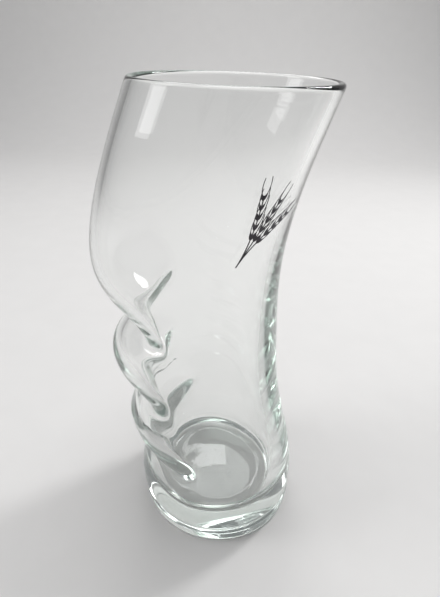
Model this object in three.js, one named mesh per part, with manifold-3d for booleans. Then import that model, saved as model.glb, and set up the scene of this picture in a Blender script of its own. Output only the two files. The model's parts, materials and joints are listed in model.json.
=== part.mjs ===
// A tall half-litre beer glass with a forward-leaning belly and three folds down its front.
// Millimetres, +Z up. The origin is the middle of the flat underside of the foot.
// The belly and its folds face -X, the hollow back faces +X, and the ear print faces -Y and +X.

import * as THREE from 'three';
import { TessellateModifier } from 'three/addons/modifiers/TessellateModifier.js';
import { mergeVertices } from 'three/addons/utils/BufferGeometryUtils.js';
import Module from 'manifold-3d';

const wasm = await Module();
wasm.setup();

// Heights of the body, each measured from the level below it
const heelRise = 25;
const hipRise = 37;
const waistRise = 36;
const bellyRise = 36;
const shoulderRise = 31;
const rimRise = 31;

// How far the middle of the body leans towards the belly at each level
const heelLean = 2.2;
const hipLean = 8.3;
const waistLean = 13.9;
const bellyLean = 16.1;
const shoulderLean = 10.1;
const rimLean = -0.4;

// Outer radius at each level
const footRadius = 36.8;
const heelRadius = 38.3;
const hipRadius = 35.7;
const waistRadius = 36.7;
const bellyRadius = 38.1;
const shoulderRadius = 37.6;
const rimRadius = 36.3;

// Wall of the belly side at each level, and of the back, which is drawn thicker
const rimWall = 2.4;
const frontHeelWall = 8.7;
const frontHipWall = 6;
const frontWaistWall = 4;
const frontBellyWall = 2.9;
const frontShoulderWall = 2.5;
const backHeelWall = 8.7;
const backHipWall = 7.2;
const backWaistWall = 5.8;
const backBellyWall = 3.9;
const backShoulderWall = 3;

// Foot ring with a shallow groove above it
const footEdgeRadius = 1.6;
const footGrooveHeight = 8;
const footGrooveDepth = 0.7;
const footGrooveHalfWidth = 2.2;

// Floor of the hollow
const floorThickness = 14;
const floorDome = 0.8;
const floorCornerHeight = 9;
const floorCornerRadius = 8;

// Folds across the belly side. The shelf is the overhang above a crease, the skirt is the slope
// under it, and each falls away as a power of the height. The rise is how much higher a crease
// would be a quarter turn round. The reach is half the arc that a fold crosses, and the fade power
// says how late on that arc it begins to run out.
const creaseSoftness = 2;
const lowerCreaseHeight = 37.2;
const lowerCreaseRise = 2.7;
const lowerFoldDepth = 6;
const lowerShelf = 24.5;
const lowerShelfPower = 4.4;
const lowerSkirt = 25.6;
const lowerSkirtPower = 1.9;
const lowerReach = 83;
const lowerFadePower = 2.2;
const middleCreaseHeight = 71.1;
const middleCreaseRise = 7.6;
const middleFoldDepth = 8.4;
const middleShelf = 21.4;
const middleShelfPower = 4.1;
const middleSkirt = 14.2;
const middleSkirtPower = 1.1;
const middleReach = 74;
const middleFadePower = 1.7;
const upperCreaseHeight = 104.9;
const upperCreaseRise = 5.6;
const upperFoldDepth = 14.8;
const upperShelf = 43;
const upperShelfPower = 3.8;
const upperSkirt = 18.8;
const upperSkirtPower = 3.3;
const upperReach = 81;
const upperFadePower = 2.2;

// Facets
const columns = 48;
const footEdgeSteps = 3;
const rimSteps = 6;
const cornerSteps = 5;
const domeRingShare = 0.5;
const finestRow = 1.3;
const coarsestRow = 6.5;
const rowGrowth = 0.28;
const stemSteps = 6;
const awnSteps = 2;
const grainSteps = 2;
const longestPrintEdge = 4;
const printEdgeSplits = 8;
const weldDistance = 1e-5;

// Printed sprig of three barley ears in dark enamel, laid along a slanted line
const printAzimuth = 306;
const printHeight = 152.5;
const printSlant = 28;
const printGap = 0.3;
const printThickness = 0.25;
const earLength = 14.5;
const earStemLength = 9.5;
const earSpread = 21;
const earKneeHeight = 10.8;
const stemWidth = 0.5;
const grainPairs = 5;
const grainLength = 3;
const grainSwellAt = 1.25;
const grainSwell = 0.95;
const grainAngle = 24;
const awnStart = 2.4;
const awnBow = 2.6;
const awnSplay = 0.9;
const awnLength = 5;
const awnWidth = 0.3;
const awnTipWidth = 0.15;

const deg = Math.PI / 180;

const bodyLevels = [0, heelRise, hipRise, waistRise, bellyRise, shoulderRise, rimRise]
  .reduce((levels, rise) => [...levels, (levels.at(-1) ?? 0) + rise], []);
const wallLevels = bodyLevels.slice(1);
const glassHeight = bodyLevels.at(-1);

// Natural cubic spline through values at rising levels
function smoothLine(levels, values) {
  const last = levels.length - 1;
  const gap = (i) => levels[i + 1] - levels[i];
  const slope = (i) => (values[i + 1] - values[i]) / gap(i);
  const ratio = new Array(last).fill(0);
  const load = new Array(last).fill(0);
  for (let i = 1; i < last; i++) {
    const pivot = 2 * (levels[i + 1] - levels[i - 1]) - gap(i - 1) * ratio[i - 1];
    ratio[i] = gap(i) / pivot;
    load[i] = (6 * (slope(i) - slope(i - 1)) - gap(i - 1) * load[i - 1]) / pivot;
  }
  const bend = new Array(last + 1).fill(0);
  for (let i = last - 1; i > 0; i--) bend[i] = load[i] - ratio[i] * bend[i + 1];
  return (level) => {
    let i = 0;
    while (i < last - 1 && level > levels[i + 1]) i++;
    const up = level - levels[i];
    const down = levels[i + 1] - level;
    const curved = (bend[i] * down ** 3 + bend[i + 1] * up ** 3) / (6 * gap(i));
    const low = (values[i] / gap(i) - (bend[i] * gap(i)) / 6) * down;
    const high = (values[i + 1] / gap(i) - (bend[i + 1] * gap(i)) / 6) * up;
    return curved + low + high;
  };
}

const folds = [
  {
    height: lowerCreaseHeight, rise: lowerCreaseRise, depth: lowerFoldDepth,
    reach: lowerReach, fadePower: lowerFadePower,
    shelf: lowerShelf, shelfPower: lowerShelfPower, skirt: lowerSkirt, skirtPower: lowerSkirtPower,
  },
  {
    height: middleCreaseHeight, rise: middleCreaseRise, depth: middleFoldDepth,
    reach: middleReach, fadePower: middleFadePower,
    shelf: middleShelf, shelfPower: middleShelfPower, skirt: middleSkirt, skirtPower: middleSkirtPower,
  },
  {
    height: upperCreaseHeight, rise: upperCreaseRise, depth: upperFoldDepth,
    reach: upperReach, fadePower: upperFadePower,
    shelf: upperShelf, shelfPower: upperShelfPower, skirt: upperSkirt, skirtPower: upperSkirtPower,
  },
];

const leanAt = smoothLine(bodyLevels, [0, heelLean, hipLean, waistLean, bellyLean, shoulderLean, rimLean]);
const radiusAt = smoothLine(bodyLevels,
  [footRadius, heelRadius, hipRadius, waistRadius, bellyRadius, shoulderRadius, rimRadius]);
const frontWallAt = smoothLine(wallLevels,
  [frontHeelWall, frontHipWall, frontWaistWall, frontBellyWall, frontShoulderWall, rimWall]);
const backWallAt = smoothLine(wallLevels,
  [backHeelWall, backHipWall, backWaistWall, backBellyWall, backShoulderWall, rimWall]);

// How far the folds draw the wall in at a height and azimuth
function foldDepthAt(height, azimuth) {
  const fromBelly = Math.abs(Math.atan2(Math.sin(azimuth - Math.PI), Math.cos(azimuth - Math.PI)));
  return folds.reduce((depth, fold) => {
    const away = height - fold.height - fold.rise * (1 - Math.cos(fromBelly));
    const softened = Math.hypot(away, creaseSoftness) - creaseSoftness;
    const reach = away > 0 ? fold.shelf : fold.skirt;
    const power = away > 0 ? fold.shelfPower : fold.skirtPower;
    const across = Math.min(fromBelly / (fold.reach * deg), 1) ** fold.fadePower;
    const fade = (1 + Math.cos(Math.PI * across)) / 2;
    return depth + fold.depth * fade * Math.max(1 - softened / reach, 0) ** power;
  }, 0);
}

function grooveDepthAt(height) {
  const away = Math.abs(height - footGrooveHeight) / footGrooveHalfWidth;
  return away < 1 ? footGrooveDepth * Math.cos((away * Math.PI) / 2) ** 2 : 0;
}

function outerPoint(height, azimuth) {
  const radius = radiusAt(height) - foldDepthAt(height, azimuth) - grooveDepthAt(height);
  const x = -leanAt(height) + radius * Math.cos(azimuth);
  return new THREE.Vector3(x, radius * Math.sin(azimuth), height);
}

function outerNormal(height, azimuth) {
  const step = 0.05;
  const turn = 0.002;
  const up = outerPoint(height + step, azimuth).sub(outerPoint(height - step, azimuth));
  const round = outerPoint(height, azimuth + turn).sub(outerPoint(height, azimuth - turn));
  return round.cross(up).normalize();
}

function wallAt(height, azimuth) {
  const toBack = (1 + Math.cos(azimuth)) / 2;
  return frontWallAt(height) * (1 - toBack) + backWallAt(height) * toBack;
}

function innerPoint(height, azimuth) {
  const inward = outerNormal(height, azimuth).multiplyScalar(-wallAt(height, azimuth));
  return outerPoint(height, azimuth).add(inward);
}

// Heights of the rows of facets, closer together at the creases
function rowHeights(bottom, top) {
  const heights = [bottom];
  while (heights.at(-1) < top) {
    const here = heights.at(-1);
    const nearest = Math.min(...folds.map((fold) => Math.abs(fold.height - here)));
    heights.push(here + Math.min(finestRow + rowGrowth * nearest, coarsestRow));
  }
  const stretch = (top - bottom) / (heights.at(-1) - bottom);
  return heights.map((height) => bottom + (height - bottom) * stretch);
}

// The wall stops where its rounded lip begins, so that the lip's crown is level all round
function lipStart(azimuth) {
  const lip = rimWall / 2;
  const normal = outerNormal(glassHeight - lip, azimuth);
  return glassHeight - lip * (1 - normal.z);
}

function lipPoint(azimuth, angle) {
  const start = lipStart(azimuth);
  const lip = wallAt(start, azimuth) / 2;
  const normal = outerNormal(start, azimuth);
  const upright = new THREE.Vector3(0, 0, 1).addScaledVector(normal, -normal.z).normalize();
  return outerPoint(start, azimuth)
    .addScaledVector(normal, lip * (Math.cos(angle) - 1))
    .addScaledVector(upright, lip * Math.sin(angle));
}

function footEdgePoint(azimuth, angle) {
  const radius = footRadius - footEdgeRadius * (1 - Math.sin(angle));
  const height = footEdgeRadius * (1 - Math.cos(angle));
  return new THREE.Vector3(radius * Math.cos(azimuth), radius * Math.sin(azimuth), height);
}

// The hollow's corner rolls from its lowest wall row to the rim of the floor
function cornerPoint(azimuth, angle) {
  const height = floorThickness + floorCornerHeight;
  const wall = innerPoint(height, azimuth);
  const middle = new THREE.Vector3(-leanAt(height), 0, wall.z);
  const ring = wall.clone().sub(middle);
  const drawn = 1 - (floorCornerRadius * (1 - Math.cos(angle))) / ring.length();
  const point = middle.addScaledVector(ring, drawn);
  point.z = floorThickness + (wall.z - floorThickness) * (1 - Math.sin(angle));
  return point;
}

// One closed wall: each row is a ring of points, and the first and last rows shrink to a pole
function ringedSolid(rows, bottomPole, topPole) {
  const positions = [...bottomPole.toArray()];
  rows.forEach((row) => {
    for (let i = 0; i < columns; i++) positions.push(...row((i / columns) * 2 * Math.PI).toArray());
  });
  positions.push(...topPole.toArray());
  const corner = (row, i) => 1 + row * columns + (i % columns);
  const lastPoint = positions.length / 3 - 1;
  const faces = [];
  for (let i = 0; i < columns; i++) {
    faces.push(0, corner(0, i + 1), corner(0, i));
    for (let row = 0; row < rows.length - 1; row++) {
      faces.push(corner(row, i), corner(row, i + 1), corner(row + 1, i + 1));
      faces.push(corner(row, i), corner(row + 1, i + 1), corner(row + 1, i));
    }
    faces.push(corner(rows.length - 1, i), corner(rows.length - 1, i + 1), lastPoint);
  }
  const geometry = new THREE.BufferGeometry();
  geometry.setAttribute('position', new THREE.Float32BufferAttribute(positions, 3));
  geometry.setIndex(faces);
  geometry.computeVertexNormals();
  return geometry;
}

function glassBody() {
  const span = (steps) => Array.from({ length: steps + 1 }, (unused, i) => i / steps);
  const quarter = Math.PI / 2;
  const footEdge = span(footEdgeSteps).map((t) => (azimuth) => footEdgePoint(azimuth, t * quarter));
  const rise = (height, azimuth) => {
    const share = (height - footEdgeRadius) / (glassHeight - footEdgeRadius);
    return footEdgeRadius + share * (lipStart(azimuth) - footEdgeRadius);
  };
  const outerRows = rowHeights(footEdgeRadius, glassHeight).slice(1)
    .map((height) => (azimuth) => outerPoint(rise(height, azimuth), azimuth));
  const lipRows = span(rimSteps).slice(1, -1)
    .map((t) => (azimuth) => lipPoint(azimuth, t * Math.PI));
  const innerRows = rowHeights(floorThickness + floorCornerHeight, glassHeight).reverse()
    .map((height, i) => (azimuth) => innerPoint(i ? rise(height, azimuth) : lipStart(azimuth), azimuth));
  const cornerRows = span(cornerSteps).slice(1)
    .map((t) => (azimuth) => cornerPoint(azimuth, t * quarter));
  const middle = new THREE.Vector3(-leanAt(floorThickness), 0, floorThickness + floorDome);
  const domeRow = (azimuth) => {
    const point = middle.clone().lerp(cornerPoint(azimuth, quarter), domeRingShare);
    point.z = floorThickness + floorDome * (1 - domeRingShare ** 2);
    return point;
  };
  const rows = [...footEdge, ...outerRows, ...lipRows, ...innerRows, ...cornerRows, domeRow];
  return ringedSolid(rows, new THREE.Vector3(0, 0, 0), middle);
}

// The sprig is drawn flat from the foot of its stems, with X running round the glass and Y up it
function grainShape(base, angle) {
  const along = new THREE.Vector2(Math.cos(angle), Math.sin(angle));
  const across = new THREE.Vector2(-along.y, along.x);
  const at = (far, out) => base.clone().addScaledVector(along, far).addScaledVector(across, out);
  const tip = at(grainLength, 0);
  const left = at(grainSwellAt, grainSwell);
  const right = at(grainSwellAt, -grainSwell);
  const shape = new THREE.Shape();
  shape.moveTo(base.x, base.y);
  shape.quadraticCurveTo(right.x, right.y, tip.x, tip.y);
  shape.quadraticCurveTo(left.x, left.y, base.x, base.y);
  return shape;
}

function ribbonShape(curve, startWidth, endWidth, steps) {
  const side = (sign) => Array.from({ length: steps + 1 }, (unused, i) => {
    const t = i / steps;
    const along = curve.getTangent(t);
    const half = (sign * (startWidth + (endWidth - startWidth) * t)) / 2;
    return curve.getPoint(t).add(new THREE.Vector2(-along.y, along.x).multiplyScalar(half));
  });
  return new THREE.Shape([...side(-1), ...side(1).reverse()]);
}

// One ear: a bent stem that runs on through pairs of grains, each with a fine awn
function earShapes(spread) {
  const total = earStemLength + earLength;
  const heading = 90 * deg - spread;
  const end = new THREE.Vector2(Math.cos(heading), Math.sin(heading)).multiplyScalar(total);
  const knee = new THREE.Vector2(0, earKneeHeight);
  const line = new THREE.QuadraticBezierCurve(new THREE.Vector2(0, 0), knee, end);
  const shapes = [ribbonShape(line, stemWidth, stemWidth, stemSteps)];
  for (let i = 0; i < grainPairs; i++) {
    const t = (earStemLength + (earLength * i) / grainPairs) / total;
    const along = line.getTangent(t);
    const stemAngle = Math.atan2(along.y, along.x);
    [-1, 1].forEach((side) => {
      const angle = stemAngle + side * grainAngle * deg;
      const base = line.getPoint(t);
      shapes.push(grainShape(base, angle));
      const outward = new THREE.Vector2(Math.cos(angle), Math.sin(angle));
      const start = base.clone().addScaledVector(outward, awnStart);
      const bow = start.clone().addScaledVector(outward, awnBow);
      const tip = start.clone().addScaledVector(outward, awnSplay).addScaledVector(along, awnLength);
      const awn = new THREE.QuadraticBezierCurve(start, bow, tip);
      shapes.push(ribbonShape(awn, awnWidth, awnTipWidth, awnSteps));
    });
  }
  return shapes;
}

function solidOf(geometry) {
  const bare = geometry.clone();
  bare.deleteAttribute('normal');
  bare.deleteAttribute('uv');
  const merged = mergeVertices(bare, weldDistance);
  return new wasm.Manifold(new wasm.Mesh({
    numProp: 3,
    vertProperties: new Float32Array(merged.attributes.position.array),
    triVerts: new Uint32Array(merged.index.array),
  }));
}

function geometryOf(solid) {
  const mesh = solid.getMesh();
  const geometry = new THREE.BufferGeometry();
  geometry.setAttribute('position', new THREE.Float32BufferAttribute(mesh.vertProperties, 3));
  geometry.setIndex(Array.from(mesh.triVerts));
  return geometry;
}

// The flat print is laid on the glass, square to its surface everywhere
function laidOnGlass(sheet) {
  const finer = new TessellateModifier(longestPrintEdge, printEdgeSplits).modify(sheet);
  const geometry = mergeVertices(finer, weldDistance);
  const positions = geometry.attributes.position;
  const slant = printSlant * deg;
  const middle = (earStemLength + earLength) / 2;
  for (let i = 0; i < positions.count; i++) {
    const u = positions.getX(i);
    const v = positions.getY(i) - middle;
    const round = u * Math.cos(slant) + v * Math.sin(slant);
    const height = printHeight - u * Math.sin(slant) + v * Math.cos(slant);
    const azimuth = printAzimuth * deg + round / radiusAt(height);
    const lift = printGap + positions.getZ(i);
    const point = outerPoint(height, azimuth).addScaledVector(outerNormal(height, azimuth), lift);
    positions.setXYZ(i, point.x, point.y, point.z);
  }
  geometry.computeVertexNormals();
  return geometry;
}

function earPrint() {
  const sheet = { depth: printThickness, bevelEnabled: false, curveSegments: grainSteps };
  const shapes = [-earSpread, 0, earSpread].flatMap((spread) => earShapes(spread * deg));
  const solids = shapes.map((shape) => solidOf(new THREE.ExtrudeGeometry(shape, sheet)));
  return laidOnGlass(geometryOf(solids.reduce((whole, solid) => whole.add(solid))));
}

function clearGlass() {
  return new THREE.MeshStandardMaterial({
    color: 0xdfe6e2, roughness: 0.03, metalness: 0, transparent: true, opacity: 0.35,
  });
}

function darkEnamel() {
  return new THREE.MeshStandardMaterial({ color: 0x2c2730, roughness: 0.45, metalness: 0 });
}

function namedMesh(name, geometry, material) {
  const mesh = new THREE.Mesh(geometry, material);
  mesh.name = name;
  return mesh;
}

const beerGlass = new THREE.Group();
beerGlass.add(namedMesh('glass_body', glassBody(), clearGlass()));
beerGlass.add(namedMesh('barley_ear_print', earPrint(), darkEnamel()));

export default beerGlass;
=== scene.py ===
import json
import math
import bpy
from mathutils import Matrix, Vector

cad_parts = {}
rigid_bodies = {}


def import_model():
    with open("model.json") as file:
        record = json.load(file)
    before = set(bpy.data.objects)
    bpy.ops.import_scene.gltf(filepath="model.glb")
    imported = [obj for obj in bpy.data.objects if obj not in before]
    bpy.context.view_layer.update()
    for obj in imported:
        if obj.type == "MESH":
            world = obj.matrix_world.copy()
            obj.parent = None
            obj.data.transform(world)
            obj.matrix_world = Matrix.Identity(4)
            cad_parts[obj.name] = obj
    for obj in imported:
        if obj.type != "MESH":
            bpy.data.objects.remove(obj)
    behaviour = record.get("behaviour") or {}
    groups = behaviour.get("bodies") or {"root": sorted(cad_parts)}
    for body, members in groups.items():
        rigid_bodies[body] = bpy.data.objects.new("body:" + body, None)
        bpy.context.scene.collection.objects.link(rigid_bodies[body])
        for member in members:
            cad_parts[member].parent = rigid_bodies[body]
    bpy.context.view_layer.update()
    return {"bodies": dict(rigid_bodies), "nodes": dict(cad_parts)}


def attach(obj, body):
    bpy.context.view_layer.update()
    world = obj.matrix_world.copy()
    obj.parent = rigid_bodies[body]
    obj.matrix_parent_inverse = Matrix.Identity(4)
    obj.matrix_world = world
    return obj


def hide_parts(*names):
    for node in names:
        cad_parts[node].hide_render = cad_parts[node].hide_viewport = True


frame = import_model()
root = next(iter(frame["bodies"]))
print("frame loaded:", sorted(frame["nodes"]))


# Small helpers for node trees and objects

def linkUp(tree, socket, value):
    if isinstance(value, bpy.types.NodeSocket):
        tree.links.new(value, socket)
    else:
        socket.default_value = value


def addNode(tree, kind, *values, **settings):
    node = tree.nodes.new(kind)
    for name, value in settings.items():
        setattr(node, name, value)
    for socket, value in zip([s for s in node.inputs if s.enabled], values):
        linkUp(tree, socket, value)
    return node


def fillIn(tree, node, values):  # sets or links a node's inputs by their labels
    for label, value in values.items():
        linkUp(tree, next(s for s in node.inputs if s.enabled and s.name == label), value)


def sums(tree, operation, *values):  # one Math node, gives its result
    return addNode(tree, "ShaderNodeMath", *values, operation=operation).outputs[0]


def arrows(tree, operation, *values):  # one Vector Math node, gives its result
    node = addNode(tree, "ShaderNodeVectorMath", *values, operation=operation)
    return next(s for s in node.outputs if s.enabled)


def arrow(tree, x, y, z):
    return addNode(tree, "ShaderNodeCombineXYZ", x, y, z).outputs[0]


def split(tree, vector):
    return addNode(tree, "ShaderNodeSeparateXYZ", vector).outputs


def pointPlace(tree):
    return addNode(tree, "GeometryNodeInputPosition").outputs[0]


def storedVector(tree, name):
    read = addNode(tree, "GeometryNodeInputNamedAttribute", name, data_type="FLOAT_VECTOR")
    return read.outputs["Attribute"]


def storeVector(tree, geometry, name, value):
    kept = addNode(tree, "GeometryNodeStoreNamedAttribute", data_type="FLOAT_VECTOR", domain="POINT")
    fillIn(tree, kept, {"Geometry": geometry, "Name": name, "Value": value})
    return kept.outputs[0]


def movedTo(tree, geometry, place):
    moved = addNode(tree, "GeometryNodeSetPosition")
    fillIn(tree, moved, {"Geometry": geometry, "Position": place})
    return moved.outputs[0]


def newTree(name, inputs, result=("Geometry", "NodeSocketGeometry")):
    tree = bpy.data.node_groups.new(name, "GeometryNodeTree")
    for label, kind, value in inputs:
        socket = tree.interface.new_socket(label, in_out="INPUT", socket_type="NodeSocket" + kind)
        if value is not None:
            socket.default_value = value
    tree.interface.new_socket(result[0], in_out="OUTPUT", socket_type=result[1])
    return tree, tree.nodes.new("NodeGroupInput").outputs, tree.nodes.new("NodeGroupOutput").inputs[0]


def useTree(tree, group, *values):  # a node group set inside another tree
    node = tree.nodes.new("GeometryNodeGroup")
    node.node_tree = group
    for socket, value in zip(node.inputs, values):
        linkUp(tree, socket, value)
    return node.outputs[0]


def finishTree(tree, geometry, material, result):  # leaves no instances, which the export drops
    real = addNode(tree, "GeometryNodeRealizeInstances", geometry)
    finished = addNode(tree, "GeometryNodeSetMaterial")
    fillIn(tree, finished, {"Geometry": real.outputs[0], "Material": material})
    tree.links.new(finished.outputs[0], result)


def newObject(name, data):
    made = bpy.data.objects.new(name, data)
    bpy.context.scene.collection.objects.link(made)
    return made


def bakedPiece(name, start, tree, values):  # runs a tree on a start mesh and keeps a plain mesh
    maker = newObject(name + "Maker", start)
    modifier = maker.modifiers.new(tree.name, "NODES")
    modifier.node_group = tree
    sockets = {s.name: s.identifier for s in tree.interface.items_tree if s.in_out == "INPUT"}
    for label, value in values.items():
        modifier[sockets[label]] = value
    bpy.context.view_layer.update()
    evaluated = maker.evaluated_get(bpy.context.evaluated_depsgraph_get())
    mesh = bpy.data.meshes.new_from_object(evaluated)
    mesh.name = name
    maker.modifiers.remove(modifier)
    bpy.data.objects.remove(maker)
    triangles = sum(len(p.vertices) - 2 for p in mesh.polygons)
    print(name, "made:", len(mesh.vertices), "points,", triangles, "triangles")
    return newObject(name, mesh)


# The glass: sizes in millimetres and degrees, levels named from the foot up

glassSizes = {
    "rises": [25, 37, 36, 36, 31, 31],  # to the heel, hip, waist, belly, shoulder and rim
    "leans": [0, 2.2, 8.3, 13.9, 16.1, 10.1, -0.4],
    "radii": [36.8, 38.3, 35.7, 36.7, 38.1, 37.6, 36.3],
    "frontWalls": [8.7, 6, 4, 2.9, 2.5, 2.4],
    "backWalls": [8.7, 7.2, 5.8, 3.9, 3, 2.4],
    "footEdge": 1.6, "grooveHeight": 8, "grooveDepth": 0.7, "grooveHalfWidth": 2.2,
    "floorHeight": 14, "floorDome": 0.8, "cornerHeight": 9, "cornerRadius": 8,
    "softness": 2, "levelledHeight": 30,
    "folds": {
        "Lower": {"Crease": 37.2, "Rise": 2.7, "Depth": 6, "Reach": 83, "Fade Power": 2.2,
                  "Shelf": 24.5, "Shelf Power": 4.4, "Skirt": 25.6, "Skirt Power": 1.9},
        "Middle": {"Crease": 71.1, "Rise": 7.6, "Depth": 8.4, "Reach": 74, "Fade Power": 1.7,
                   "Shelf": 21.4, "Shelf Power": 4.1, "Skirt": 14.2, "Skirt Power": 1.1},
        "Upper": {"Crease": 104.9, "Rise": 5.6, "Depth": 14.8, "Reach": 81, "Fade Power": 2.2,
                  "Shelf": 43, "Shelf Power": 3.8, "Skirt": 18.8, "Skirt Power": 3.3},
    },
    "columns": 168, "finestRow": 0.32, "coarsestRow": 1.05, "rowGrowth": 0.05,
    "footSteps": 6, "lipSteps": 18, "cornerSteps": 18, "domeSteps": 8,
}
metres = 0.001  # per millimetre
wallMapScale = 0.005  # the wall's map is one turn wide, and 200 mm of the wall is 1 on it
foldNames = ("Crease", "Rise", "Depth", "Reach", "Fade Power",
             "Shelf", "Shelf Power", "Skirt", "Skirt Power")


def smoothLine(levels, values):  # natural cubic spline
    last = len(levels) - 1
    gap = [levels[i + 1] - levels[i] for i in range(last)]
    slope = [(values[i + 1] - values[i]) / gap[i] for i in range(last)]
    ratio, load, bend = [0.0] * last, [0.0] * last, [0.0] * (last + 1)
    for i in range(1, last):
        pivot = 2 * (levels[i + 1] - levels[i - 1]) - gap[i - 1] * ratio[i - 1]
        ratio[i] = gap[i] / pivot
        load[i] = (6 * (slope[i] - slope[i - 1]) - gap[i - 1] * load[i - 1]) / pivot
    for i in range(last - 1, 0, -1):
        bend[i] = load[i] - ratio[i] * bend[i + 1]

    def at(level):
        i = 0
        while i < last - 1 and level > levels[i + 1]:
            i += 1
        up, down = level - levels[i], levels[i + 1] - level
        curved = (bend[i] * down ** 3 + bend[i + 1] * up ** 3) / (6 * gap[i])
        return (curved + (values[i] / gap[i] - bend[i] * gap[i] / 6) * down
                + (values[i + 1] / gap[i] - bend[i + 1] * gap[i] / 6) * up)
    return at


def glassProfile(sizes):  # one point a row, from the middle of the underside, over the rim, to the floor
    levels = [0.0]
    for rise in sizes["rises"]:
        levels.append(levels[-1] + rise)
    height = levels[-1]
    lip = sizes["frontWalls"][-1] / 2
    leanAt = smoothLine(levels, sizes["leans"])
    radiusAt = smoothLine(levels, sizes["radii"])
    frontAt = smoothLine(levels[1:], sizes["frontWalls"])
    backAt = smoothLine(levels[1:], sizes["backWalls"])

    def grooveAt(level):
        away = abs(level - sizes["grooveHeight"]) / sizes["grooveHalfWidth"]
        return sizes["grooveDepth"] * math.cos(away * math.pi / 2) ** 2 if away < 1 else 0.0

    def outerAt(level):
        return radiusAt(level) - grooveAt(level)

    def slopeOf(line, level, step=0.02):
        return (line(level + step) - line(level - step)) / (2 * step)

    def spread(low, high):  # levels of the wall's rows, closest at the creases and the groove
        marks = [fold["Crease"] for fold in sizes["folds"].values()] + [sizes["grooveHeight"]]
        found = [low]
        while found[-1] < high:
            nearest = min(abs(mark - found[-1]) for mark in marks)
            step = min(sizes["finestRow"] + sizes["rowGrowth"] * nearest, sizes["coarsestRow"])
            found.append(found[-1] + step)
        stretch = (high - low) / (found[-1] - low)
        return [low + (level - low) * stretch for level in found]

    rows = []

    def addRow(level, inset=0.0, lipTurn=0.0, cornerTurn=0.0, share=1.0):
        trim = min(max((level - height) / sizes["levelledHeight"] + 1, 0), 1)
        rows.append((
            (level, leanAt(level), outerAt(level) - inset),
            (slopeOf(leanAt, level), slopeOf(outerAt, level), trim * trim * (3 - 2 * trim)),
            (frontAt(level), backAt(level), 0),
            (lipTurn, cornerTurn, share)))

    edge, top = sizes["footEdge"], height - lip
    corner = sizes["floorHeight"] + sizes["cornerHeight"]
    for i in range(sizes["footSteps"] + 1):
        turn = i / sizes["footSteps"] * math.pi / 2
        addRow(edge * (1 - math.cos(turn)), inset=edge * (1 - math.sin(turn)))
    for level in spread(edge, top)[1:]:
        addRow(level)
    for i in range(1, sizes["lipSteps"]):
        addRow(top, lipTurn=i / sizes["lipSteps"] * math.pi)
    for level in reversed(spread(corner, top)):
        addRow(level, lipTurn=math.pi)
    for i in range(1, sizes["cornerSteps"] + 1):
        addRow(corner, lipTurn=math.pi, cornerTurn=i / sizes["cornerSteps"] * math.pi / 2)
    for i in range(1, sizes["domeSteps"]):
        addRow(corner, lipTurn=math.pi, cornerTurn=math.pi / 2, share=1 - i / sizes["domeSteps"])

    mesh = bpy.data.meshes.new("glassProfile")
    edges = [(i, i + 1) for i in range(len(rows) - 1)]
    mesh.from_pydata([(row[0][2], 0, row[0][0]) for row in rows], edges, [])
    for column, name in enumerate(("place", "slopes", "walls", "turns")):
        attribute = mesh.attributes.new(name, "FLOAT_VECTOR", "POINT")
        attribute.data.foreach_set("vector", [value for row in rows for value in row[column]])
    return mesh


def foldTree():  # how far one fold draws the wall in
    names = ("Height", "Azimuth", "Softness") + foldNames
    tree, given, result = newTree("foldDepth", [(name, "Float", 1) for name in names],
                                  ("Drawn In", "NodeSocketFloat"))
    (height, azimuth, softness, crease, rise, depth, reach, fadePower,
     shelf, shelfPower, skirt, skirtPower) = given[:len(names)]
    fromBelly = sums(tree, "ABSOLUTE", sums(tree, "SUBTRACT", math.pi, sums(tree, "ABSOLUTE", azimuth)))
    roundShare = sums(tree, "SUBTRACT", 1, sums(tree, "COSINE", fromBelly))
    away = sums(tree, "SUBTRACT", height, sums(tree, "MULTIPLY_ADD", rise, roundShare, crease))
    squared = sums(tree, "ADD", sums(tree, "MULTIPLY", away, away),
                   sums(tree, "MULTIPLY", softness, softness))
    softened = sums(tree, "SUBTRACT", sums(tree, "SQRT", squared), softness)
    above = sums(tree, "GREATER_THAN", away, 0)
    span = sums(tree, "MULTIPLY_ADD", above, sums(tree, "SUBTRACT", shelf, skirt), skirt)
    power = sums(tree, "MULTIPLY_ADD", above, sums(tree, "SUBTRACT", shelfPower, skirtPower), skirtPower)
    across = sums(tree, "MINIMUM", sums(tree, "DIVIDE", fromBelly, sums(tree, "RADIANS", reach)), 1)
    turned = sums(tree, "MULTIPLY", sums(tree, "POWER", across, fadePower), math.pi)
    fade = sums(tree, "MULTIPLY_ADD", sums(tree, "COSINE", turned), 0.5, 0.5)
    left = sums(tree, "MAXIMUM", sums(tree, "SUBTRACT", 1, sums(tree, "DIVIDE", softened, span)), 0)
    drawn = sums(tree, "MULTIPLY", sums(tree, "MULTIPLY", depth, fade), sums(tree, "POWER", left, power))
    tree.links.new(drawn, result)
    return tree


def wallSpot(tree, azimuth, level, outside):  # a place on the wall's map
    turnShare = sums(tree, "MULTIPLY_ADD", azimuth, 0.5 / math.pi, 0.5)
    return arrow(tree, turnShare, sums(tree, "MULTIPLY", level, wallMapScale), outside)


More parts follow.
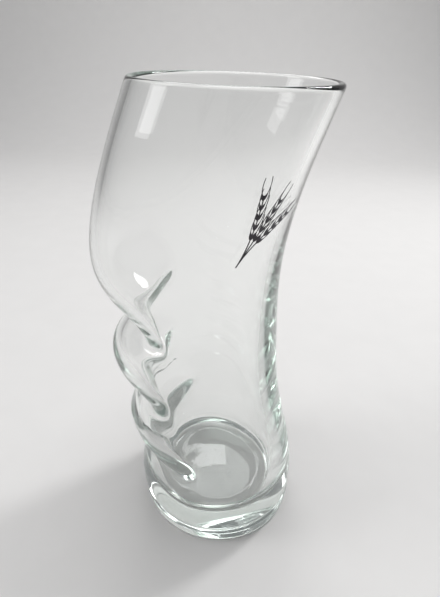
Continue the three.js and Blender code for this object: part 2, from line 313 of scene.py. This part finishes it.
def glassTree(sizes):
    folds = [(where + " " + name, "Float", fold[name])
             for where, fold in sizes["folds"].items() for name in foldNames]
    tree, given, result = newTree("foldedGlass", [
        ("Profile", "Geometry", None), ("Columns", "Int", sizes["columns"]),
        ("Softness", "Float", sizes["softness"]), ("Corner Radius", "Float", sizes["cornerRadius"]),
        ("Floor Height", "Float", sizes["floorHeight"]), ("Floor Dome", "Float", sizes["floorDome"]),
        *folds, ("Glass", "Material", None)])
    profile = given["Profile"]
    rowCount = addNode(tree, "GeometryNodeAttributeDomainSize", profile).outputs["Point Count"]
    last = sums(tree, "SUBTRACT", rowCount, 1)
    tube = addNode(tree, "GeometryNodeMeshCylinder", fill_type="TRIANGLE_FAN")
    fillIn(tree, tube, {"Vertices": given["Columns"], "Side Segments": last, "Radius": 1, "Depth": last})
    x, y, z = split(tree, pointPlace(tree))
    row = sums(tree, "ROUND", sums(tree, "MULTIPLY_ADD", last, 0.5, z))
    azimuth = sums(tree, "ARCTAN2", y, x)
    ring = sums(tree, "ROUND", arrows(tree, "LENGTH", arrow(tree, x, y, 0)))  # 0 at the two poles

    def rowValue(name):
        picked = addNode(tree, "GeometryNodeSampleIndex", data_type="FLOAT_VECTOR", domain="POINT")
        fillIn(tree, picked, {"Geometry": profile, "Value": storedVector(tree, name), "Index": row})
        return split(tree, picked.outputs[0])

    level, lean, radius = rowValue("place")
    leanSlope, radiusSlope, trim = rowValue("slopes")
    frontWall, backWall = rowValue("walls")[:2]
    lipTurn, cornerTurn, share = rowValue("turns")
    foldDepth = foldTree()

    def drawnIn(height, angle):
        total = None
        for where in sizes["folds"]:
            one = useTree(tree, foldDepth, height, angle, given["Softness"],
                          *[given[where + " " + name] for name in foldNames])
            total = one if total is None else sums(tree, "ADD", total, one)
        return total

    def drawnSlope(high, low, step):
        return sums(tree, "DIVIDE", sums(tree, "SUBTRACT", high, low), 2 * step)

    up, aside = 0.05, 0.002  # small steps for the slopes, in millimetres and radians
    upSlope = drawnSlope(drawnIn(sums(tree, "ADD", level, up), azimuth),
                         drawnIn(sums(tree, "SUBTRACT", level, up), azimuth), up)
    roundSlope = drawnSlope(drawnIn(level, sums(tree, "ADD", azimuth, aside)),
                            drawnIn(level, sums(tree, "SUBTRACT", azimuth, aside)), aside)
    wallRadius = sums(tree, "SUBTRACT", radius, drawnIn(level, azimuth))
    wallSlope = sums(tree, "SUBTRACT", radiusSlope, upSlope)
    cosine, sine = sums(tree, "COSINE", azimuth), sums(tree, "SINE", azimuth)
    outward = arrow(tree, cosine, sine, 0)
    sideways = arrow(tree, sums(tree, "MULTIPLY", sine, -1), cosine, 0)
    middle = arrow(tree, sums(tree, "MULTIPLY", lean, -1), 0, level)
    outer = arrows(tree, "MULTIPLY_ADD", outward, arrow(tree, wallRadius, wallRadius, 0), middle)
    alongUp = arrows(tree, "MULTIPLY_ADD", outward, arrow(tree, wallSlope, wallSlope, 0),
                     arrow(tree, sums(tree, "MULTIPLY", leanSlope, -1), 0, 1))
    alongRound = arrows(tree, "SUBTRACT", arrows(tree, "SCALE", sideways, wallRadius),
                        arrows(tree, "SCALE", outward, roundSlope))
    normal = arrows(tree, "NORMALIZE", arrows(tree, "CROSS_PRODUCT", alongRound, alongUp))
    tilt = split(tree, normal)[2]
    upright = arrows(tree, "NORMALIZE", arrows(tree, "SUBTRACT", arrow(tree, 0, 0, 1),
                                               arrows(tree, "SCALE", normal, tilt)))

    # The wall goes in by its thickness, and over the lip in a half circle
    toBack = sums(tree, "MULTIPLY_ADD", cosine, 0.5, 0.5)
    wall = sums(tree, "MULTIPLY_ADD", toBack, sums(tree, "SUBTRACT", backWall, frontWall), frontWall)
    half = sums(tree, "MULTIPLY", wall, 0.5)
    inward = sums(tree, "MULTIPLY", half, sums(tree, "SUBTRACT", sums(tree, "COSINE", lipTurn), 1))
    over = sums(tree, "MULTIPLY", half, sums(tree, "SINE", lipTurn))
    levelling = sums(tree, "MULTIPLY", trim, sums(tree, "MULTIPLY", half, tilt))
    wallPoint = arrows(tree, "ADD", outer, arrows(tree, "SCALE", normal, inward))
    lipRise = arrows(tree, "ADD", arrows(tree, "SCALE", upright, over), arrow(tree, 0, 0, levelling))
    wallPoint = arrows(tree, "ADD", wallPoint, lipRise)

    # The corner rolls down to the floor, whose middle stands a little proud
    fromMiddle = arrows(tree, "MULTIPLY", arrows(tree, "SUBTRACT", wallPoint, middle), (1, 1, 0))
    rolled = sums(tree, "MULTIPLY", given["Corner Radius"],
                  sums(tree, "SUBTRACT", 1, sums(tree, "COSINE", cornerTurn)))
    reach = sums(tree, "MAXIMUM", arrows(tree, "LENGTH", fromMiddle), 1)
    kept = sums(tree, "SUBTRACT", 1, sums(tree, "DIVIDE", rolled, reach))
    inPlan = arrows(tree, "SCALE", fromMiddle,
                    sums(tree, "MULTIPLY", kept, sums(tree, "MULTIPLY", share, ring)))
    wallHeight = split(tree, wallPoint)[2]
    isFloor = sums(tree, "GREATER_THAN", cornerTurn, 0)
    aboveFloor = sums(tree, "MULTIPLY", sums(tree, "SUBTRACT", wallHeight, given["Floor Height"]),
                      sums(tree, "SUBTRACT", 1, sums(tree, "SINE", cornerTurn)))
    domed = sums(tree, "MULTIPLY", given["Floor Dome"],
                 sums(tree, "SUBTRACT", 1, sums(tree, "MULTIPLY", share, share)))
    floorPoint = sums(tree, "ADD", given["Floor Height"], sums(tree, "ADD", aboveFloor, domed))
    rise = sums(tree, "SUBTRACT", floorPoint, wallHeight)
    heightNow = sums(tree, "MULTIPLY_ADD", isFloor, rise, wallHeight)
    place = arrows(tree, "ADD", inPlan, arrow(tree, split(tree, middle)[0], 0, heightNow))

    # For the print, the wall's map holds the turn, the level, and 1 on the outside, before the lip turns in
    outside = sums(tree, "LESS_THAN", lipTurn, 0.01)
    mapped = storeVector(tree, tube.outputs["Mesh"], "wallPlace", wallSpot(tree, azimuth, level, outside))
    moved = movedTo(tree, mapped, arrows(tree, "SCALE", place, metres))
    smooth = addNode(tree, "GeometryNodeSetShadeSmooth", moved)
    finishTree(tree, smooth.outputs[0], given["Glass"], result)
    return tree


# Materials

glassLook = {
    "ior": 1.52, "clearest": (0.998, 0.999, 0.998, 1), "faintest": (0.988, 0.993, 0.990, 1), "cloud": 30,
    "cast": (0.66, 0.83, 0.74, 1), "castDensity": 4.5,  # the cast grows with the thickness
    "wave": 38, "waveStretch": (1, 1, 0.2), "waveHeight": 0.00006,
    "smear": 60, "smearStretch": (1, 1, 0.35), "polish": 0.004, "dullest": 0.022,
}
noiseLow, noiseHigh = 0.35, 0.65  # most of a noise lies between these


def newMaterial(name):
    material = bpy.data.materials.new(name)
    material.use_nodes = True
    tree = material.node_tree
    shader = tree.nodes["Principled BSDF"]
    place = addNode(tree, "ShaderNodeTexCoord").outputs["Object"]
    return material, tree, shader, place


def noise(tree, place, scale, detail, stretch=(1, 1, 1)):
    mapped = addNode(tree, "ShaderNodeMapping")
    fillIn(tree, mapped, {"Vector": place, "Scale": stretch})
    texture = addNode(tree, "ShaderNodeTexNoise")
    fillIn(tree, texture, {"Vector": mapped.outputs[0], "Scale": scale, "Detail": detail})
    return texture.outputs["Fac"]


def between(tree, amount, low, high):
    mapped = addNode(tree, "ShaderNodeMapRange")
    fillIn(tree, mapped, {"Value": amount, "From Min": noiseLow, "From Max": noiseHigh,
                          "To Min": low, "To Max": high})
    return mapped.outputs["Result"]


def blended(tree, amount, low, high):
    mix = addNode(tree, "ShaderNodeMix", data_type="RGBA")
    fillIn(tree, mix, {"Factor": amount, "A": low, "B": high})
    return next(s for s in mix.outputs if s.enabled)


def bumped(tree, shader, height, distance):
    bump = addNode(tree, "ShaderNodeBump")
    fillIn(tree, bump, {"Height": height, "Distance": distance, "Strength": 1.0})
    linkUp(tree, shader.inputs["Normal"], bump.outputs[0])


def clearGlass(look):
    material, tree, shader, place = newMaterial("clearGlass")
    cloud = between(tree, noise(tree, place, look["cloud"], detail=4), 0, 1)
    smear = noise(tree, place, look["smear"], detail=6, stretch=look["smearStretch"])
    fillIn(tree, shader, {
        "Transmission Weight": 1.0, "IOR": look["ior"],
        "Base Color": blended(tree, cloud, look["clearest"], look["faintest"]),
        "Roughness": between(tree, smear, look["polish"], look["dullest"])})
    wave = noise(tree, place, look["wave"], detail=1, stretch=look["waveStretch"])
    bumped(tree, shader, wave, look["waveHeight"])
    volume = addNode(tree, "ShaderNodeVolumeAbsorption")
    fillIn(tree, volume, {"Color": look["cast"], "Density": look["castDensity"]})
    output = next(n for n in tree.nodes if n.type == "OUTPUT_MATERIAL")
    tree.links.new(volume.outputs[0], output.inputs["Volume"])
    return material


glassMaterial = clearGlass(glassLook)
foldedGlass = bakedPiece("foldedGlass", glassProfile(glassSizes), glassTree(glassSizes),
                         {"Glass": glassMaterial})
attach(foldedGlass, root)
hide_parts("glass_body")


# The print: a sprig of three barley ears, drawn flat and then laid on the wall of the glass

sprigSizes = {  # millimetres and degrees
    "Azimuth": 306, "Height": 152.5, "Slant": 28, "Wall Radius": 37.8, "Lift": 0.03, "Film": 0.05,
    "Stem Length": 9.5, "Ear Length": 14.5, "Spread": 21, "Knee": 10.8, "Stem Width": 0.5,
    "Grain Length": 3, "Grain Half Width": 0.5, "Grain Fullness": 1.05, "Grain Taper": 0.55,
    "Grain Angle": 24, "Grain Pairs": 5, "Last Pair": 0.93,
    "Awn Start": 2.4, "Awn Bow": 2.6, "Awn Splay": 0.9, "Awn Length": 5, "Awn Width": 0.3, "Awn Tip": 0.5,
    "Smallest": 0.94, "Largest": 1.06, "First Size": 1.05, "Shrink": 0.035, "Seed": 5,
}
grainEdges, awnSteps, stemSteps = 14, 5, 24
layerCount, layerStep = 5, 0.006  # overlapping parts lie on layers, this many millimetres apart
mapReach = 0.45  # the map is read this share of a turn either way from its middle, short of its seam
mergeGap = 0.000001  # metres
wholeInputs = ("Grain Pairs", "Seed")


def sprigTree(sizes):
    tree, given, result = newTree("barleySprig", [
        ("Start", "Geometry", None), ("Glass", "Object", None), ("Enamel", "Material", None),
        *[(name, "Int" if name in wholeInputs else "Float", value) for name, value in sizes.items()]])

    def polar(length, angle):
        return arrow(tree, sums(tree, "MULTIPLY", length, sums(tree, "COSINE", angle)),
                     sums(tree, "MULTIPLY", length, sums(tree, "SINE", angle)), 0)

    def ribbon(points, width, resolution, tipShare):  # a flat strip along a bent line
        line = addNode(tree, "GeometryNodeCurveQuadraticBezier", resolution, *points).outputs[0]
        along = addNode(tree, "GeometryNodeSplineParameter").outputs["Factor"]
        widthShare = sums(tree, "MULTIPLY_ADD", along, sums(tree, "SUBTRACT", tipShare, 1), 1)
        sized = addNode(tree, "GeometryNodeSetCurveRadius")
        fillIn(tree, sized, {"Curve": line, "Radius": widthShare})
        level = addNode(tree, "GeometryNodeSetCurveNormal", sized.outputs[0])
        level.mode = "Z_UP"
        halfWidth = sums(tree, "MULTIPLY", width, 0.5)
        across = addNode(tree, "GeometryNodeCurvePrimitiveLine")
        fillIn(tree, across, {"Start": arrow(tree, sums(tree, "MULTIPLY", halfWidth, -1), 0, 0),
                              "End": arrow(tree, halfWidth, 0, 0)})
        strip = addNode(tree, "GeometryNodeCurveToMesh", level.outputs[0], across.outputs[0])
        return line, strip.outputs[0]

    def joined(pieces):
        node = tree.nodes.new("GeometryNodeJoinGeometry")
        for piece in pieces:
            tree.links.new(piece, node.inputs[0])
        return node.outputs[0]

    # One pair of grains with their awns, pointing along +X
    pair = []
    for side in (-1, 1):
        angle = sums(tree, "MULTIPLY", sums(tree, "RADIANS", given["Grain Angle"]), side)
        disc = addNode(tree, "GeometryNodeMeshCircle", grainEdges, 1.0, fill_type="TRIANGLE_FAN")
        x, y = split(tree, pointPlace(tree))[:2]
        far = sums(tree, "MULTIPLY", given["Grain Length"], sums(tree, "MULTIPLY_ADD", x, 0.5, 0.5))
        narrowing = sums(tree, "MULTIPLY", sums(tree, "MAXIMUM", x, 0), given["Grain Taper"])
        plump = sums(tree, "SUBTRACT", given["Grain Fullness"], narrowing)
        out = sums(tree, "MULTIPLY", sums(tree, "MULTIPLY", y, given["Grain Half Width"]), plump)
        grain = movedTo(tree, disc.outputs[0], arrow(tree, far, out, 0))
        turned = addNode(tree, "GeometryNodeTransform")
        fillIn(tree, turned, {"Geometry": grain, "Rotation": arrow(tree, 0, 0, angle)})
        start = polar(given["Awn Start"], angle)
        bow = arrows(tree, "ADD", start, polar(given["Awn Bow"], angle))
        splayed = arrows(tree, "ADD", start, polar(given["Awn Splay"], angle))
        tip = arrows(tree, "ADD", splayed, arrow(tree, given["Awn Length"], 0, 0))
        awn = ribbon((start, bow, tip), given["Awn Width"], awnSteps, given["Awn Tip"])[1]
        pair += [turned.outputs[0], awn]
    pair = joined(pair)

    # Three ears: a stem each, with the pairs set along its upper part
    total = sums(tree, "ADD", given["Stem Length"], given["Ear Length"])
    flat = []
    for side in (-1, 0, 1):
        spread = sums(tree, "MULTIPLY", sums(tree, "RADIANS", given["Spread"]), side)
        tip = polar(total, sums(tree, "SUBTRACT", math.pi / 2, spread))
        knee = arrow(tree, 0, given["Knee"], 0)
        line, strip = ribbon(((0, 0, 0), knee, tip), given["Stem Width"], stemSteps, 1.0)
        upper = addNode(tree, "GeometryNodeTrimCurve", mode="FACTOR")
        fillIn(tree, upper, {"Curve": line, "Start": sums(tree, "DIVIDE", given["Stem Length"], total),
                             "End": given["Last Pair"]})
        points = addNode(tree, "GeometryNodeCurveToPoints", mode="COUNT")
        fillIn(tree, points, {"Curve": upper.outputs[0], "Count": given["Grain Pairs"]})
        ahead, aside = split(tree, points.outputs["Tangent"])[:2]
        heading = addNode(tree, "FunctionNodeEulerToRotation",
                          arrow(tree, 0, 0, sums(tree, "ARCTAN2", aside, ahead)))
        order = addNode(tree, "GeometryNodeInputIndex").outputs[0]
        uneven = addNode(tree, "FunctionNodeRandomValue", data_type="FLOAT")
        fillIn(tree, uneven, {"Min": given["Smallest"], "Max": given["Largest"],
                              "Seed": sums(tree, "ADD", given["Seed"], side)})
        shrunk = sums(tree, "SUBTRACT", given["First Size"], sums(tree, "MULTIPLY", order, given["Shrink"]))
        size = sums(tree, "MULTIPLY", next(s for s in uneven.outputs if s.enabled), shrunk)
        placed = addNode(tree, "GeometryNodeInstanceOnPoints")
        fillIn(tree, placed, {"Points": points.outputs["Points"], "Instance": pair,
                              "Rotation": heading.outputs[0], "Scale": arrow(tree, size, size, size)})
        flat += [strip, placed.outputs[0]]
    drawing = addNode(tree, "GeometryNodeRealizeInstances", joined(flat)).outputs[0]
    facing = split(tree, addNode(tree, "GeometryNodeInputNormal").outputs[0])[2]
    flipped = addNode(tree, "GeometryNodeFlipFaces", drawing, sums(tree, "LESS_THAN", facing, 0)).outputs[0]
    x, y = split(tree, pointPlace(tree))[:2]

    # Where each point falls on the outside of the glass, read by azimuth and level
    glass = addNode(tree, "GeometryNodeObjectInfo")
    linkUp(tree, glass.inputs["Object"], given["Glass"])
    wallPlace = storedVector(tree, "wallPlace")
    mapParts = split(tree, wallPlace)
    isOutside = sums(tree, "GREATER_THAN", mapParts[2], 0.5)
    fromMiddle = sums(tree, "ABSOLUTE", sums(tree, "SUBTRACT", mapParts[0], 0.5))
    usable = sums(tree, "MULTIPLY", isOutside, sums(tree, "LESS_THAN", fromMiddle, mapReach))
    wall = addNode(tree, "GeometryNodeSeparateGeometry", glass.outputs["Geometry"], usable,
                   domain="POINT").outputs[0]
    up = sums(tree, "SUBTRACT", y, sums(tree, "MULTIPLY", total, 0.5))
    slant = sums(tree, "RADIANS", given["Slant"])
    cosine, sine = sums(tree, "COSINE", slant), sums(tree, "SINE", slant)
    alongWall = sums(tree, "ADD", sums(tree, "MULTIPLY", x, cosine), sums(tree, "MULTIPLY", up, sine))
    climb = sums(tree, "SUBTRACT", sums(tree, "MULTIPLY", up, cosine), sums(tree, "MULTIPLY", x, sine))
    height = sums(tree, "ADD", given["Height"], climb)
    middleTurn = sums(tree, "SUBTRACT", sums(tree, "RADIANS", given["Azimuth"]), 2 * math.pi)
    azimuth = sums(tree, "ADD", middleTurn, sums(tree, "DIVIDE", alongWall, given["Wall Radius"]))
    spot = wallSpot(tree, azimuth, height, 0)

    def readWall(value):
        read = addNode(tree, "GeometryNodeSampleUVSurface", data_type="FLOAT_VECTOR")
        fillIn(tree, read, {"Mesh": wall, "Value": value, "UV Map": wallPlace, "Sample UV": spot})
        return read.outputs["Value"]

    onWall = readWall(pointPlace(tree))
    square = arrows(tree, "NORMALIZE", readWall(addNode(tree, "GeometryNodeInputNormal").outputs[0]))
    island = addNode(tree, "GeometryNodeInputMeshIsland").outputs["Island Index"]
    step = sums(tree, "MULTIPLY", sums(tree, "MODULO", island, layerCount), layerStep)
    lift = sums(tree, "MULTIPLY", sums(tree, "ADD", given["Lift"], step), metres)
    kept = storeVector(tree, flipped, "square", square)
    laid = movedTo(tree, kept, arrows(tree, "ADD", onWall, arrows(tree, "SCALE", square, lift)))

    # The drawing is given its film's thickness, square to the glass
    film = sums(tree, "MULTIPLY", given["Film"], metres)
    raised = addNode(tree, "GeometryNodeExtrudeMesh", mode="FACES")
    offset = arrows(tree, "SCALE", storedVector(tree, "square"), film)
    fillIn(tree, raised, {"Mesh": laid, "Offset": offset, "Individual": False})
    under = addNode(tree, "GeometryNodeFlipFaces", laid).outputs[0]
    closed = addNode(tree, "GeometryNodeMergeByDistance", joined([raised.outputs[0], under]))
    fillIn(tree, closed, {"Distance": mergeGap})
    finishTree(tree, closed.outputs[0], given["Enamel"], result)
    return tree


enamelLook = {
    "dark": (0.016, 0.013, 0.020, 1), "worn": (0.05, 0.043, 0.055, 1), "glossiest": 0.28, "dullest": 0.5,
    "grain": 2600, "patch": 240, "bump": 0.000006,
}


def darkEnamel(look):
    material, tree, shader, place = newMaterial("darkEnamel")
    speckle = noise(tree, place, look["grain"], detail=4)
    patch = noise(tree, place, look["patch"], detail=3)
    mean = sums(tree, "MULTIPLY_ADD", speckle, 0.5, sums(tree, "MULTIPLY", patch, 0.5))
    amount = between(tree, mean, 0, 1)
    fillIn(tree, shader, {"Base Color": blended(tree, amount, look["dark"], look["worn"]),
                          "Roughness": between(tree, patch, look["glossiest"], look["dullest"])})
    bumped(tree, shader, speckle, look["bump"])
    return material


barleyPrint = bakedPiece("barleyPrint", bpy.data.meshes.new("start"), sprigTree(sprigSizes),
                         {"Glass": foldedGlass, "Enamel": darkEnamel(enamelLook)})
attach(barleyPrint, root)
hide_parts("barley_ear_print")


# Floor, light and camera

stageLook = {  # metres
    "width": 3.0, "nearEdge": -1.2, "sweepStart": 0.75, "sweepRadius": 0.35, "sweepSteps": 24, "top": 1.6,
    "drop": 0.0002, "pale": (0.8, 0.79, 0.78, 1), "toneShare": 0.985, "grain": 40, "roughness": 0.8,
}


def stage(look):
    start, radius, steps = look["sweepStart"], look["sweepRadius"], look["sweepSteps"]
    points = [(look["nearEdge"], 0.0), (start, 0.0)]
    for i in range(1, steps + 1):
        turn = i / steps * math.pi / 2
        points.append((start + radius * math.sin(turn), radius * (1 - math.cos(turn))))
    points.append((start + radius, look["top"]))
    corners = [(side * look["width"] / 2, y, z - look["drop"]) for y, z in points for side in (-1, 1)]
    faces = [(2 * i, 2 * i + 1, 2 * i + 3, 2 * i + 2) for i in range(len(points) - 1)]
    mesh = bpy.data.meshes.new("paleSweep")
    mesh.from_pydata(corners, [], faces)
    for face in mesh.polygons:
        face.use_smooth = True
    sweep = newObject("paleSweep", mesh)
    material, tree, shader, place = newMaterial("palePaper")
    grain = between(tree, noise(tree, place, look["grain"], detail=5), 0, 1)
    tone = tuple(c * look["toneShare"] for c in look["pale"][:3]) + (1,)
    fillIn(tree, shader, {"Base Color": blended(tree, grain, look["pale"], tone),
                          "Roughness": look["roughness"]})
    mesh.materials.append(material)


stage(stageLook)


lampSet = {  # metres and watts
    "keyBox": {"place": (0.55, 0.45, 0.75), "aim": (0, 0, 0.08), "size": (0.15, 0.34), "power": 3.4},
    "fillBox": {"place": (-0.7, -0.1, 0.6), "aim": (0, 0, 0.08), "size": (0.3, 0.7), "power": 1.6},
    "backStrip": {"place": (-0.12, 0.75, 0.84), "aim": (0, 0, 0.02), "size": (0.5, 0.22), "power": 1.7},
    "topBox": {"place": (0.05, 0.05, 1.15), "aim": (0, 0.1, 0), "size": (0.8, 0.6), "power": 4.6},
}
worldLook = {"Color": (0.62, 0.63, 0.65, 1), "Strength": 0.34}


def softLight(name, lamp):
    data = bpy.data.lights.new(name, "AREA")
    data.shape = "RECTANGLE"
    data.size, data.size_y = lamp["size"]
    data.energy = lamp["power"]
    box = newObject(name, data)
    box.location = lamp["place"]
    box.rotation_euler = (Vector(lamp["aim"]) - Vector(lamp["place"])).to_track_quat("-Z", "Y").to_euler()


for name, lamp in lampSet.items():
    softLight(name, lamp)

world = bpy.data.worlds.new("studio")
bpy.context.scene.world = world
world.use_nodes = True
fillIn(world.node_tree, world.node_tree.nodes["Background"], worldLook)

cameraSet = {  # metres, degrees, millimetres on the sensor, and pixels of the picture
    "place": (-0.00237, -0.16795, 0.20598), "down": 29.453, "roll": 2.137,
    "sensor": 36, "focalPixels": 454, "imageHeight": 597, "nearest": 0.01,
}


def addCamera(view):
    data = bpy.data.cameras.new("photoCamera")
    data.lens = view["focalPixels"] / view["imageHeight"] * view["sensor"]
    data.sensor_width, data.clip_start = view["sensor"], view["nearest"]
    camera = newObject("photoCamera", data)
    camera.matrix_world = (Matrix.Translation(view["place"])
                           @ Matrix.Rotation(math.radians(90 - view["down"]), 4, "X")
                           @ Matrix.Rotation(math.radians(view["roll"]), 4, "Z"))
    bpy.context.scene.camera = camera


addCamera(cameraSet)
scene = bpy.context.scene
scene.view_settings.view_transform = "Standard"
bounceLimits = {"max_bounces": 32, "transmission_bounces": 32, "glossy_bounces": 32, "diffuse_bounces": 8}
for name, limit in bounceLimits.items():  # light goes to and fro many times inside thick glass
    setattr(scene.cycles, name, limit)
print("stage, lights and camera set")
